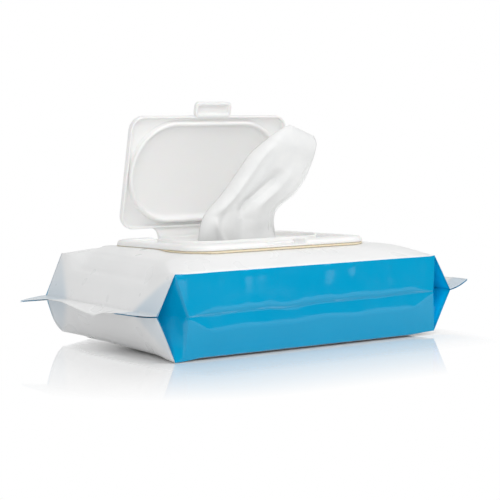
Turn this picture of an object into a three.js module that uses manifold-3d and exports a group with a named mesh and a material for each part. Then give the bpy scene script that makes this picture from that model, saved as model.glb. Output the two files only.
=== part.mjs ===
// Wet wipes pack: a gusseted flow-wrap pouch with a flip-top dispenser glued over its opening,
// the lid standing open and one wipe pulled up through it. Millimetres, +Z up: the pack lies on
// the plane z = 0 with its length along X, and the lid is hinged at the back (+Y).
import * as THREE from 'three';
import { ConvexGeometry } from 'three/addons/geometries/ConvexGeometry.js';
import { mergeVertices } from 'three/addons/utils/BufferGeometryUtils.js';
import Module from 'manifold-3d';

const wasm = await Module();
wasm.setup();

// Driving dimensions: wipes
const sheetWidth = 150;
const foldedDepth = 100;
const stackHeight = 41.5;
const stackCorner = 7;
const stackEdgeRound = 4;

// Driving dimensions: film pouch
const endSlack = 10;
const sideSlack = 3;
const filmWall = 0.6;
const crownRise = 7.1;
const endReach = 9.9;
const endLift = 2.5;
const foldLift = 0.8;
const finHeight = 23.7;
const finDepth = 12;
const finThickness = 0.9;
const leftFinWave = 2;
const leftFinWaves = 1.25;
const rightFinRise = 4.5;
const tuckLead = 7;
const tuckDepth = 21;

// Driving dimensions: dispenser frame. The shifts are shares of the space left beside the frame.
const frameLength = 115;
const frameDepth = 83;
const frameCorner = 14;
const frameShiftX = -0.135;
const frameShiftY = 0.39;
const frameLean = 1.3;
const borderHeight = 3;
const borderBevel = 1.2;
const sideBorder = 6;
const frontBorder = 12.8;
const deckThickness = 1.1;
const collarHeight = 2.5;
const collarWall = 1.3;
const mouthShelf = 5;
const filmLip = 3;
const catchHeight = 1.2;
const adhesiveThickness = 0.7;
const adhesiveBand = 11;
const adhesiveInset = 0.8;

// Driving dimensions: lid
const lidCorner = 8;
const lidPlate = 1.2;
const lidWall = 1.2;
const lidSkirt = 2.2;
const lidEdgeRound = 1;
const lidCrown = 1.2;
const lidOpenAngle = 77.2;
const ringInsetX = 2;
const ringInsetY = 3;
const ringWall = 1.4;
const ringDrop = 1;
const hingeInset = 3.2;
const tongueReach = 5.5;
const tongueWidth = 54;
const tongueFlare = 5;
const tongueThickness = 1;
const tongueRise = 14;
const tabWidth = 23.5;
const tabReach = 7.7;
const tabCorner = 2.4;
const tabDrop = 0.4;
const tabWall = 1.4;
const tabTop = 1.2;

// Clearances
const seatGap = 0.3;
const fitGap = 0.5;
const overlap = 0.5;
const minCorner = 1;
const minStraight = 0.1;

// Facets: steps in a corner, angles in a rounded edge, and where the slopes of film and lid are sampled
const cornerSteps = 6;
const edgeAngles = [0, 30, 60, 90];
const waveSteps = 12;
const wipeSides = 20;
const slopeStops = [0, 0.25, 0.5, 0.75, 1];
const seatStops = [-0.35, 0.35];
const shoulderStops = [0, 0.3, 0.55];
const crownStops = [0.12, 0.3, 0.55, 0.85];

// Values that follow from the driving dimensions
const radians = THREE.MathUtils.degToRad;
const bodyLength = sheetWidth + 2 * endSlack;
const bodyWidth = foldedDepth + 2 * sideSlack;
const stackBase = filmWall + seatGap;
const stackTop = stackBase + stackHeight;
const edgeHeight = stackTop + filmWall;
const flatLength = sheetWidth + 2 * stackBase;
const flatDepth = foldedDepth + 2 * stackBase;
const flatCorner = stackCorner + stackBase;
const finRoot = bodyLength / 2 + endReach;
const frameX = (frameShiftX * (bodyLength - frameLength)) / 2;
const frameY = (frameShiftY * (bodyWidth - frameDepth)) / 2;
const frameSeat = edgeHeight + crownRise;
const filmSeat = frameSeat - adhesiveThickness - 2 * seatGap;
const lidLength = frameLength - 2 * sideBorder;
const lidDepth = frameDepth - hingeInset - tongueReach - frontBorder;
const hingeY = frameDepth / 2 - hingeInset;
const hingeHeight = deckThickness + ringDrop + seatGap;
const lidCentre = tongueReach + lidDepth / 2;
const mouthY = hingeY - lidCentre;
const mouthWorldY = frameY + mouthY;
const ringLength = lidLength - 2 * ringInsetX;
const ringDepth = lidDepth - 2 * ringInsetY;
const collarLength = ringLength - 2 * (ringWall + fitGap);
const collarDepth = ringDepth - 2 * (ringWall + fitGap);
const mouthLength = collarLength - 2 * (collarWall + mouthShelf);
const mouthDepth = collarDepth - 2 * (collarWall + mouthShelf);
const dieCutLength = mouthLength - 2 * filmLip;
const dieCutDepth = mouthDepth - 2 * filmLip;

// Outlines

function roundedRectangle(length, depth, radius) {
  const x = length / 2 - radius;
  const y = depth / 2 - radius;
  const shape = new THREE.Shape();
  shape.absarc(x, y, radius, 0, Math.PI / 2);
  shape.absarc(-x, y, radius, Math.PI / 2, Math.PI);
  shape.absarc(-x, -y, radius, Math.PI, 1.5 * Math.PI);
  shape.absarc(x, -y, radius, 1.5 * Math.PI, 2 * Math.PI);
  shape.closePath();
  return shape;
}

// A slot outline whose ends are half circles across its full depth
function stadium(length, depth) {
  const radius = depth / 2;
  const x = length / 2 - radius;
  const shape = new THREE.Shape();
  shape.absarc(x, 0, radius, -Math.PI / 2, 0);
  shape.absarc(x, 0, radius, 0, Math.PI / 2);
  shape.absarc(-x, 0, radius, Math.PI / 2, Math.PI);
  shape.absarc(-x, 0, radius, Math.PI, 1.5 * Math.PI);
  shape.closePath();
  return shape;
}

function stadiumRing(length, depth, wall) {
  const shape = stadium(length, depth);
  shape.holes.push(stadium(length - 2 * wall, depth - 2 * wall));
  return shape;
}

// Solids

function toSolid(geometry) {
  const bare = geometry.clone();
  bare.deleteAttribute('normal');
  bare.deleteAttribute('uv');
  const merged = mergeVertices(bare, 1e-4);
  return new wasm.Manifold(new wasm.Mesh({
    numProp: 3,
    vertProperties: new Float32Array(merged.attributes.position.array),
    triVerts: new Uint32Array(merged.index.array),
  }));
}

// Upright prism of an outline, from the height base up
function prism(shape, height, base = 0, x = 0, y = 0) {
  const options = { depth: height, bevelEnabled: false, curveSegments: cornerSteps };
  return toSolid(new THREE.ExtrudeGeometry(shape, options).translate(x, y, base));
}

function box(length, depth, height, x, y, z) {
  return toSolid(new THREE.BoxGeometry(length, depth, height).translate(x, y, z + height / 2));
}

// Closed skin through rings of equal point count; the two end rings are capped. The plane function
// gives a ring point's flat coordinates for its cap.
function loft(rings, plane) {
  const count = rings[0].length;
  const points = rings.flat();
  const faces = [];
  for (let i = 0; i < rings.length - 1; i++) {
    for (let j = 0; j < count; j++) {
      const a = i * count + j;
      const b = i * count + (j + 1) % count;
      faces.push(a, b, a + count, b, b + count, a + count);
    }
  }
  const last = (rings.length - 1) * count;
  for (const [p, q, r] of THREE.ShapeUtils.triangulateShape(rings[0].map(plane), [])) {
    faces.push(p, r, q);
  }
  for (const [p, q, r] of THREE.ShapeUtils.triangulateShape(rings.at(-1).map(plane), [])) {
    faces.push(last + p, last + q, last + r);
  }
  const geometry = new THREE.BufferGeometry().setFromPoints(points);
  geometry.setIndex(faces);
  return toSolid(geometry);
}

// Solid whose outline is a rounded rectangle at every height; the profile lists [inset, height] upwards,
// with the corner's own radius where it doesn't just follow the inset
function sweptRectangle(length, depth, radius, profile) {
  const rings = profile.map(([inset, height, corner = radius - inset]) => {
    const shape = roundedRectangle(length - 2 * inset, depth - 2 * inset, corner);
    const outline = shape.getPoints(cornerSteps).slice(0, -1);
    return outline.map((p) => new THREE.Vector3(p.x, p.y, height));
  });
  return loft(rings, (p) => new THREE.Vector2(p.x, p.y));
}

// [inset, height] pairs up a quarter-round edge that ends level at the top
function roundedEdge(radius, top) {
  return edgeAngles.map((angle) => [
    radius * (1 - Math.cos(radians(angle))),
    top - radius * (1 - Math.sin(radians(angle))),
  ]);
}

function toMesh(name, solid, finish) {
  const { vertProperties, triVerts } = solid.getMesh();
  const geometry = new THREE.BufferGeometry();
  geometry.setAttribute('position', new THREE.BufferAttribute(vertProperties, 3));
  geometry.setIndex(new THREE.BufferAttribute(triVerts, 1));
  geometry.computeVertexNormals();
  const material = new THREE.MeshStandardMaterial(finish);
  const mesh = new THREE.Mesh(geometry, material);
  mesh.name = name;
  return mesh;
}

// Film pouch. Its cross-section at each place along X is a ring: the crowned top from back to front, then
// the bottom, which is flat under the wipes and rounds up to its folds. At each end the side films are
// folded in between top and bottom, which leaves four pockets.

const smooth = THREE.MathUtils.smoothstep;

// Rise of the slack top from its folds to the seat of the frame: 0 at the folds, 1 under the frame
function crownShare(x, y) {
  const sideways = x > frameX ? bodyLength / 2 - frameX : bodyLength / 2 + frameX;
  const depthways = y > frameY ? bodyWidth / 2 - frameY : bodyWidth / 2 + frameY;
  const alongX = 1 - smooth(Math.abs(x - frameX), frameLength / 2, sideways);
  const alongY = 1 - smooth(Math.abs(y - frameY), frameDepth / 2, depthways);
  return alongX * alongY;
}

// Half the width over which the wipes press the bottom flat at x, in an outline with rounded corners
function flatHalf(x) {
  const past = THREE.MathUtils.clamp(Math.abs(x) - flatLength / 2 + flatCorner, 0, flatCorner);
  return flatDepth / 2 - flatCorner + Math.sqrt(flatCorner ** 2 - past ** 2);
}

// Heights of the top and bottom films at x and y
function pouchSection(x, y) {
  const reach = Math.abs(x);
  const past = THREE.MathUtils.clamp((reach - bodyLength / 2) / endReach, 0, 1);
  const seat = filmSeat - (y - frameY) * Math.tan(radians(frameLean));
  const crowned = edgeHeight + (seat - edgeHeight) * crownShare(x, y);
  const pastWipes = smooth(reach, flatLength / 2, bodyLength / 2);
  const besideWipes = smooth(Math.abs(y), flatHalf(x), bodyWidth / 2);
  const lifted = THREE.MathUtils.lerp(foldLift * besideWipes, endLift, pastWipes);
  return {
    top: THREE.MathUtils.lerp(crowned, finHeight + finThickness / 2, past),
    bottom: THREE.MathUtils.lerp(lifted, finHeight - finThickness / 2, past),
  };
}

// Places across the width where the top film is sampled: its folds, its slopes and the frame's edges
const frontSlope = bodyWidth / 2 - (frameDepth / 2 - frameY);
const backSlope = bodyWidth / 2 - (frameDepth / 2 + frameY);
const acrossStops = [
  ...slopeStops.map((s) => bodyWidth / 2 - s * backSlope),
  ...seatStops.map((s) => frameY + s * frameDepth),
  ...slopeStops.map((s) => s * frontSlope - bodyWidth / 2),
].sort((a, b) => b - a);

function pouchRing(x, inset) {
  const outerX = Math.sign(x) * (Math.abs(x) + inset);
  const side = bodyWidth / 2 - inset;
  const narrow = side / (bodyWidth / 2);
  const point = (y, z) => new THREE.Vector3(x, y, z);
  const top = acrossStops.map((y) => point(y * narrow, pouchSection(outerX, y).top - inset));
  const flat = flatHalf(outerX);
  const bottomStops = [-bodyWidth / 2, -flat, flat, bodyWidth / 2];
  const bottom = bottomStops.map((y) => point(y * narrow, pouchSection(outerX, y).bottom + inset));
  return [...top, ...bottom];
}

function pouchBody(endX, inset) {
  const half = bodyLength / 2 - inset;
  const shoulder = (side) => (side * frameLength) / 2 + frameX;
  const flatEnd = edgeAngles.map((angle) => flatLength / 2 - flatCorner * (1 - Math.sin(radians(angle))));
  const halfStops = (side) => [
    ...shoulderStops.map((s) => THREE.MathUtils.lerp(shoulder(side), side * half, s)),
    ...[...flatEnd, half, endX].map((x) => side * x),
  ];
  const stops = [...halfStops(-1), ...halfStops(1)].sort((a, b) => a - b);
  return loft(stops.map((x) => pouchRing(x, inset)), (p) => new THREE.Vector2(p.y, p.z));
}

// Pocket of a folded-in gusset: a pyramid whose base is the kite between the pouch's corner, the fin and
// the start of the fold, and whose point lies inside the fin. Grown, it keeps the inside off the fold.
function gussetPocket(end, side, grow) {
  const root = finRoot - filmWall;
  const corner = bodyLength / 2 - filmWall;
  const point = (x, inward, z) => new THREE.Vector3(end * x, side * (bodyWidth / 2 - inward), z);
  const kite = (inward) => [
    point(corner, inward, edgeHeight - filmWall + grow),
    point(root, inward, finHeight),
    point(corner, inward, endLift + filmWall - grow),
    point(bodyLength / 2 - tuckLead - grow, inward, finHeight),
  ];
  const apex = point(root, tuckDepth + grow, finHeight);
  return toSolid(new ConvexGeometry([...kite(0), ...kite(-overlap), apex]));
}

function gussetPockets(grow = 0) {
  const corners = [[-1, -1], [-1, 1], [1, -1], [1, 1]];
  return wasm.Manifold.union(corners.map(([end, side]) => gussetPocket(end, side, grow)));
}

// Crimped end seal: the left one hangs in a shallow wave, the right one is bent up
function fin(side) {
  const band = (x) => {
    const share = Math.max(Math.abs(x) - finRoot, 0) / finDepth;
    const edge = [];
    for (let i = 0; i <= waveSteps; i++) {
      const y = bodyWidth / 2 - (bodyWidth * i) / waveSteps;
      const wave = -leftFinWave * Math.cos((2 * Math.PI * leftFinWaves * y) / bodyWidth);
      const rise = (side < 0 ? wave : rightFinRise) * share;
      edge.push(new THREE.Vector3(x, y, finHeight + rise));
    }
    const lift = (amount) => (p) => new THREE.Vector3(p.x, p.y, p.z + amount);
    const upper = edge.map(lift(finThickness / 2));
    const lower = edge.map(lift(-finThickness / 2)).reverse();
    return [...upper, ...lower];
  };
  const stops = [-overlap, 0, finDepth / 2, finDepth].map((d) => side * (finRoot + d));
  return loft(stops.sort((a, b) => a - b).map(band), (p) => new THREE.Vector2(p.y, p.z));
}

function filmPouch() {
  const sealMargin = 4 * filmWall;
  const dieCut = prism(stadium(dieCutLength, dieCutDepth), edgeHeight, edgeHeight / 2, frameX, mouthWorldY);
  const cavity = pouchBody(finRoot - sealMargin, filmWall).subtract(gussetPockets(2 * filmWall));
  return pouchBody(finRoot, 0)
    .subtract(gussetPockets())
    .add(fin(-1))
    .add(fin(1))
    .subtract(cavity)
    .subtract(dieCut);
}

// Wipes

function wipeStack() {
  const profile = [[0, stackBase], ...roundedEdge(stackEdgeRound, stackTop)];
  return sweptRectangle(sheetWidth, foldedDepth, stackCorner, profile);
}

// The pulled-up wipe: a gathered sheet that leans to the right and forward as it rises. Each station is
// [height above the stack, place along X and along Y from the mouth's middle, width, thickness].
function leadingWipe() {
  const stations = [
    [seatGap, -1, -0.5, 52, 8],
    [18, -1, -2.5, 46, 9],
    [29, 8.5, -5.5, 47, 11],
    [40, 16.5, -7.5, 46, 12],
    [51, 21.5, -10.5, 42, 11],
    [60, 26.5, -12.5, 30, 8],
    [67.5, 26.5, -14.5, 12, 4],
  ];
  const rings = stations.map(([height, x, y, width, thickness]) => {
    const ring = [];
    for (let i = 0; i < wipeSides; i++) {
      const angle = (2 * Math.PI * i) / wipeSides;
      const across = frameX + x + (width / 2) * Math.cos(angle);
      const through = mouthWorldY + y + (thickness / 2) * Math.sin(angle);
      ring.push(new THREE.Vector3(across, through, stackTop + height));
    }
    return ring;
  });
  return loft(rings, (p) => new THREE.Vector2(p.x, p.y));
}

// Dispenser frame, drawn about the middle of its underside

function adhesiveRing() {
  const length = frameLength - 2 * adhesiveInset;
  const depth = frameDepth - 2 * adhesiveInset;
  const corner = frameCorner - adhesiveInset;
  const shape = roundedRectangle(length, depth, corner);
  const innerCorner = Math.max(corner - adhesiveBand, minCorner);
  shape.holes.push(roundedRectangle(length - 2 * adhesiveBand, depth - 2 * adhesiveBand, innerCorner));
  return prism(shape, adhesiveThickness, -adhesiveThickness - seatGap);
}

function dispenserFrame() {
  const edge = [[0, 0], [0, borderHeight - borderBevel], [borderBevel, borderHeight]];
  const above = borderHeight;
  const through = 3 * borderHeight;
  const recess = roundedRectangle(lidLength + 2 * fitGap, lidDepth + 2 * fitGap, lidCorner + fitGap);
  const collarTop = deckThickness + collarHeight;
  const catchY = mouthY - lidDepth / 2 - tabReach / 2;
  const catchLength = tabWidth - 2 * (tabWall + fitGap);
  const catchDepth = tabReach - 2 * (tabWall + fitGap);
  const notchDepth = frameDepth / 2 + mouthY - lidDepth / 2 + overlap;
  const notchY = -frameDepth / 2 + notchDepth / 2 - overlap;
  const landLength = tongueWidth + 2 * (tongueFlare + fitGap);
  const landHeight = hingeHeight - tongueThickness / 2 - seatGap;
  const landDepth = hingeInset + tongueReach + overlap;
  const landY = frameDepth / 2 - landDepth / 2 + overlap;
  return sweptRectangle(frameLength, frameDepth, frameCorner, edge)
    .subtract(prism(recess, above, deckThickness, 0, mouthY))
    .subtract(box(tabWidth + 2 * fitGap, notchDepth, above, 0, notchY, deckThickness))
    .subtract(box(landLength, landDepth, above, 0, landY, landHeight))
    .add(prism(stadiumRing(collarLength, collarDepth, collarWall), collarTop - overlap, overlap, 0, mouthY))
    .add(box(catchLength, catchDepth, deckThickness + catchHeight - overlap, 0, catchY, overlap))
    .subtract(prism(stadium(mouthLength, mouthDepth), through, -borderHeight, 0, mouthY));
}

// Lid, drawn closed about its hinge line: forward is -Y, and z = 0 is the lower edge of its skirt

function lidTray() {
  const inside = lidSkirt;
  const outside = lidSkirt + lidPlate;
  const crown = (start, level) => crownStops.map((s) => {
    const inset = THREE.MathUtils.lerp(start, lidDepth / 2, s);
    const roundest = lidDepth / 2 - inset - minStraight;
    return [inset, level + lidCrown * (1 - (1 - s) ** 2), Math.min(lidCorner + inset, roundest)];
  });
  const outer = sweptRectangle(lidLength, lidDepth, lidCorner, [
    [0, 0],
    ...roundedEdge(lidEdgeRound, outside),
    ...crown(lidEdgeRound, outside),
  ]);
  const cavity = sweptRectangle(lidLength, lidDepth, lidCorner, [
    [lidWall, -overlap],
    [lidWall, inside],
    ...crown(lidWall, inside),
  ]);
  return outer.subtract(cavity).translate([0, -lidCentre, 0]);
}

function sealingRing() {
  const height = lidSkirt + ringDrop + lidPlate / 2;
  return prism(stadiumRing(ringLength, ringDepth, ringWall), height, -ringDrop, 0, -lidCentre);
}

// Thumb tab with a hollow underside that drops over the frame's catch
function latchTab() {
  const top = lidSkirt + lidPlate - lidEdgeRound;
  const reach = tabReach + overlap;
  const y = -lidCentre - lidDepth / 2 - tabReach / 2 + overlap / 2;
  const outer = prism(roundedRectangle(tabWidth, reach, tabCorner), top + tabDrop, -tabDrop, 0, y);
  const hollowDepth = tabReach - 2 * tabWall;
  const hollowY = -lidCentre - lidDepth / 2 - tabReach / 2;
  const hollowHeight = top - tabTop + 2 * tabDrop;
  const hollow = box(tabWidth - 2 * tabWall, hollowDepth, hollowHeight, 0, hollowY, -2 * tabDrop);
  return outer.subtract(hollow);
}

// Hinge tongue: a thin strap from the hinge line up to the back of the tray, flared where it joins it
function hingeTongue() {
  const half = tongueWidth / 2;
  const joined = tongueReach + lidWall;
  const flareStart = tongueReach - tongueFlare;
  const shape = new THREE.Shape();
  shape.moveTo(-half, 0);
  shape.lineTo(half, 0);
  shape.lineTo(half, -flareStart);
  shape.absarc(half + tongueFlare, -flareStart, tongueFlare, Math.PI, 1.5 * Math.PI);
  shape.lineTo(half + tongueFlare, -joined);
  shape.lineTo(-half - tongueFlare, -joined);
  shape.lineTo(-half - tongueFlare, -tongueReach);
  shape.absarc(-half - tongueFlare, -flareStart, tongueFlare, 1.5 * Math.PI, 2 * Math.PI);
  shape.closePath();
  const strap = prism(shape, tongueThickness, -tongueThickness / 2).rotate([-tongueRise, 0, 0]);
  const beadRadius = tongueThickness / 2;
  const bead = new THREE.CylinderGeometry(beadRadius, beadRadius, tongueWidth, 2 * cornerSteps);
  return strap.add(toSolid(bead.rotateZ(Math.PI / 2)));
}

function lid() {
  return lidTray().add(sealingRing()).add(latchTab()).add(hingeTongue());
}

// Assembly

const paleFilm = { color: '#dfe2e4', roughness: 0.35 };
const mouldedWhite = { color: '#f0f0ee', roughness: 0.4 };
const moistWhite = { color: '#ededed', roughness: 0.8 };
const hotMelt = { color: '#c9b183', roughness: 0.5 };

const lidHinge = new THREE.Group();
lidHinge.position.set(0, hingeY, hingeHeight);
lidHinge.rotation.x = -radians(lidOpenAngle);
lidHinge.add(toMesh('lid', lid(), mouldedWhite));

const dispenser = new THREE.Group();
dispenser.position.set(frameX, frameY, frameSeat);
dispenser.rotation.x = -radians(frameLean);
dispenser.add(toMesh('adhesive_ring', adhesiveRing(), hotMelt));
dispenser.add(toMesh('dispenser_frame', dispenserFrame(), mouldedWhite));
dispenser.add(lidHinge);

const pack = new THREE.Group();
pack.add(toMesh('film_pouch', filmPouch(), paleFilm));
pack.add(toMesh('wipe_stack', wipeStack(), moistWhite));
pack.add(toMesh('leading_wipe', leadingWipe(), moistWhite));
pack.add(dispenser);

export default pack;
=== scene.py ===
import math

import bpy
import numpy as np
from mathutils import Matrix, Vector, noise


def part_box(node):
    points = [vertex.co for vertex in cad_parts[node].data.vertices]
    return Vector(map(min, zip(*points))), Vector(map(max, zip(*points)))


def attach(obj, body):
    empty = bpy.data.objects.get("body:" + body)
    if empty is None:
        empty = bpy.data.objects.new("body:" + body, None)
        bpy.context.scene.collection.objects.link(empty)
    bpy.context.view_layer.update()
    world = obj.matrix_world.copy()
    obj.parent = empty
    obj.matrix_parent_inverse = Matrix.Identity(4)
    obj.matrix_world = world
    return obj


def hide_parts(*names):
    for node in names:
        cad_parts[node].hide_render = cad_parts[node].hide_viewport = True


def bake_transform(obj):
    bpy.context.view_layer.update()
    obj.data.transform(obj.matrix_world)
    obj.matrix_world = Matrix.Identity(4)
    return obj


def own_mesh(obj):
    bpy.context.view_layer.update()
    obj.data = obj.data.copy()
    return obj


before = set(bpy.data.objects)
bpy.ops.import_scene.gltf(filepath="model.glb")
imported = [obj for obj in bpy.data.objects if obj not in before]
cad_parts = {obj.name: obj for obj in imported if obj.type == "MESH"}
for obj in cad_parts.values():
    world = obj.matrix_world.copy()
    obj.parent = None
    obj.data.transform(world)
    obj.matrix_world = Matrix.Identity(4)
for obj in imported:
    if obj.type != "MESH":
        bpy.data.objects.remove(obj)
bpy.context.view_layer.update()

# Wipes in the pack: moist nonwoven sheets, each folded once and piled, pressed into one soft block.
# The pile fills the pouch, and its cut and folded edges show as fine layers.
stack_low, stack_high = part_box("wipe_stack")
stack_length, stack_depth, stack_corner = 0.150, 0.100, 0.007
stack_layers = 36
round_stack, flat_rings = 168, 12


def linear(red, green, blue):
    """An 8-bit display colour as a shader's linear colour."""
    values = [c / 255 for c in (red, green, blue)]
    return [c / 12.92 if c <= 0.04045 else ((c + 0.055) / 1.055) ** 2.4 for c in values] + [1.0]


def smooth(x, low, high):
    t = np.clip((x - low) / (high - low), 0, 1)
    return t * t * (3 - 2 * t)


def rounded(length, depth, radius, angles):
    """Points of a rounded rectangle about the origin, one on each ray from its middle."""
    a, b, points = length / 2, depth / 2, []
    radius = min(radius, a - 1e-6, b - 1e-6)
    for angle in angles:
        c, s = abs(math.cos(angle)), abs(math.sin(angle))
        reach = min(a / max(c, 1e-9), b / max(s, 1e-9))
        if reach * c > a - radius and reach * s > b - radius:
            along = (a - radius) * c + (b - radius) * s
            out = (a - radius) ** 2 + (b - radius) ** 2 - radius ** 2
            reach = along + math.sqrt(max(along * along - out, 0))
        points.append((reach * math.cos(angle), reach * math.sin(angle)))
    return np.array(points)


def even_angles(length, depth, count):
    """Ray angles that spread points evenly round a rectangle."""
    around = 2 * (length + depth)
    angles = []
    for i in range(count):
        d = (i + 0.5) / count * around
        if d < depth:
            x, y = length / 2, d - depth / 2
        elif d < depth + length:
            x, y = length / 2 - (d - depth), depth / 2
        elif d < 2 * depth + length:
            x, y = -length / 2, depth / 2 - (d - depth - length)
        else:
            x, y = d - 2 * depth - length - length / 2, -depth / 2
        angles.append(math.atan2(y, x))
    return angles


def build(name, points, faces, materials, place=Matrix.Identity(4)):
    """A smooth mesh object with its points moved to the row frame."""
    mesh = bpy.data.meshes.new(name)
    mesh.from_pydata([place @ Vector(p) for p in points], [], faces)
    mesh.validate()
    mesh.shade_smooth()
    for material in materials:
        mesh.materials.append(material)
    piece = bpy.data.objects.new(name, mesh)
    bpy.context.scene.collection.objects.link(piece)
    return piece


def skin(rings, first=0, loop=False, caps=(False, False)):
    """Faces between rings of equal count, numbered from first, closed into a loop or capped at the ends."""
    count, faces = len(rings[0]), []
    for i in range(len(rings) if loop else len(rings) - 1):
        a, b = i * count, (i + 1) % len(rings) * count
        for j in range(count):
            k = (j + 1) % count
            faces.append([first + a + j, first + a + k, first + b + k, first + b + j])
    if caps[0]:
        faces.append([first + j for j in reversed(range(count))])
    if caps[1]:
        last = first + (len(rings) - 1) * count
        faces.append([last + j for j in range(count)])
    return faces


def material(name, **sockets):
    """A new material with its principled shader's own sockets set."""
    made = bpy.data.materials.new(name)
    made.use_nodes = True
    shader = made.node_tree.nodes["Principled BSDF"]
    for socket, value in sockets.items():
        shader.inputs[socket.replace("_", " ")].default_value = value
    return made, made.node_tree, shader


def node(tree, kind, values=(), **settings):
    """A node of a tree with its settings, and its input sockets' values or links by name or place."""
    made = tree.nodes.new(kind)
    for key, value in settings.items():
        setattr(made, key, value)
    for socket, value in dict(values).items():
        if isinstance(value, bpy.types.NodeSocket):
            tree.links.new(value, made.inputs[socket])
        else:
            made.inputs[socket].default_value = value
    return made


nonwoven, tree, shader = material("nonwoven", Roughness=0.85, Sheen_Weight=0.10, Specular_IOR_Level=0.2)
place = node(tree, "ShaderNodeTexCoord").outputs["Object"]
fibres = node(tree, "ShaderNodeTexNoise", {"Vector": place, "Scale": 1400, "Detail": 3, "Roughness": 0.7})
stretch = node(tree, "ShaderNodeVectorMath", {0: place, 1: (1, 6, 1)}, operation="MULTIPLY").outputs[0]
strands = node(tree, "ShaderNodeTexNoise", {"Vector": stretch, "Scale": 420, "Detail": 4, "Distortion": 1.2})
mottle = node(tree, "ShaderNodeTexNoise", {"Vector": place, "Scale": 160, "Detail": 3})
web = node(tree, "ShaderNodeMath", {0: fibres.outputs[0], 1: strands.outputs[0]}, operation="ADD").outputs[0]
tone = node(tree, "ShaderNodeMixRGB", {0: mottle.outputs[0], 1: linear(232, 233, 233),
                                       2: linear(243, 243, 242)})
bump = node(tree, "ShaderNodeBump", {"Height": web, "Strength": 0.28, "Distance": 0.0003})
tree.links.new(tone.outputs[0], shader.inputs["Base Color"])
tree.links.new(bump.outputs[0], shader.inputs["Normal"])

angles = even_angles(stack_length, stack_depth, round_stack)
rings = []
for i in range(1, flat_rings):
    flat = rounded(stack_length, stack_depth, stack_corner, angles) * (i / flat_rings)
    rings.append([(x, y, stack_low.z) for x, y in flat])
heights = np.linspace(stack_low.z, stack_high.z, 2 * stack_layers + 1)
for i, z in enumerate(heights):
    inset = 0.0004 * (i % 2) + 0.004 * smooth(z, stack_high.z - 0.005, stack_high.z) ** 2
    flat = rounded(stack_length - 2 * inset, stack_depth - 2 * inset, stack_corner, angles)
    for j, (x, y) in enumerate(flat):
        sway = 0.0006 * noise.noise((x * 30, y * 30, z * 500 + 3))
        flat[j] *= 1 - max(sway, 0) / 0.06
    rings.append([(x, y, z) for x, y in flat])
for i in range(1, flat_rings + 1):
    flat = rounded(stack_length - 0.009, stack_depth - 0.009, stack_corner, angles) * (1 - i / 12.5)
    ripple = [0.0003 * noise.noise((x * 60, y * 60, 1)) for x, y in flat]
    rings.append([(x, y, stack_high.z - 0.0003 + r) for (x, y), r in zip(flat, ripple)])
points = [p for ring in rings for p in ring]
wipe_pile = build("wipe_pile", points, skin(rings, caps=(True, True)), [nonwoven])
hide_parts("wipe_stack")
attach(wipe_pile, "pack")

# Film pouch: one web of printed laminate folded round the wipes, seamed along the bottom and crimped
# into a fin at each end. The blue sides are folded in between top and bottom as gussets at the ends.
half_width, edge_height, fin_level = 0.053, 0.043, 0.0237
side_stand = 0.0020
frame_at = Vector((-0.0037125, 0.004485, 0.0501))
frame_lean = math.radians(1.3)
frame_length, frame_width, frame_corner = 0.115, 0.083, 0.014
film_seat = 0.04905
white_layer, blue_layer, lone_layer = 0.00030, 0.00005, 0.00010
top_count, near_count, far_count, bottom_count = 56, 12, 10, 28
# Each end: reach of its corners, start, height and depth of its tucks, reach of the fin's root and outer
# edge, and how far that edge rises or droops at places across the pack from front to back
fin_places = [-0.053, -0.036, -0.022, -0.013, 0.003, 0.017, 0.031, 0.045, 0.053]
left_end = {"corner": 0.0850, "tuck": 0.0780, "level": 0.0217, "depth": 0.021, "root": 0.0949, "tip": 0.1062,
            "edge": [0.0012, 0.0004, -0.0008, -0.0032, -0.0013, 0.0009, 0.0008, -0.0010, -0.0020]}
right_end = {"corner": 0.0838, "tuck": 0.0809, "level": 0.0237, "depth": 0.012, "root": 0.0955, "tip": 0.1084,
             "edge": [0.0047, 0.0047, 0.0046, 0.0045, 0.0044, 0.0045, 0.0046, 0.0044, 0.0040]}


def end_of(x):
    return left_end if x < 0 else right_end


def between(x, low, high):
    """How far along an end x lies between two of its named places, from 0 to 1."""
    end = end_of(x)
    return min(max((abs(x) - end[low]) / (end[high] - end[low]), 0), 1)


def wander(x, y, z, seed, size):
    return noise.noise((x / size + seed, y / size - seed, z / size + 2 * seed))


def crowned(x, y):
    """The top up to the end corners: level under the frame, drawn up to its left side, and rounding down
    to the folds about it."""
    corner = end_of(x)["corner"]
    dx, dy = abs(x - frame_at.x), abs(y - frame_at.y)
    across = half_width + math.copysign(1, frame_at.y - y) * frame_at.y
    along = corner + math.copysign(1, frame_at.x - x) * frame_at.x
    tx = min(max((dx - frame_length / 2) / (along - frame_length / 2), 0), 1)
    held = frame_width / 2 - (0.003 if y < frame_at.y else 0)
    ty = min(max((dy - held) / (across - held), 0), 1)
    drawn_up = 0.0010 * (1 - smooth(x, -0.060, -0.050)) * smooth(y, -0.012, -0.002)
    drawn_up *= 1 - smooth(dx, 0.0580, 0.0625)
    seat = film_seat + drawn_up - (y - frame_at.y) * math.tan(frame_lean)
    pulled = 0.0026 * smooth(y, -0.030, half_width) * smooth(abs(x), 0.020, corner) * (1 if x < 0 else 0.7)
    bowed = 0.0016 * (1 - (y / half_width) ** 2) * smooth(abs(x), 0.060, corner)
    fold = edge_height + pulled + bowed
    outside = max(dx - frame_length / 2, dy - frame_width / 2)
    slack = 0.0006 * wander(x, y, 0, 4.2, 0.019) * smooth(outside, 0, 0.008)
    slack *= smooth(half_width - abs(y), 0, 0.008)
    return fold + (seat - fold) * (1 - tx ** 2.3) * (1 - ty ** 1.6) + slack


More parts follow.
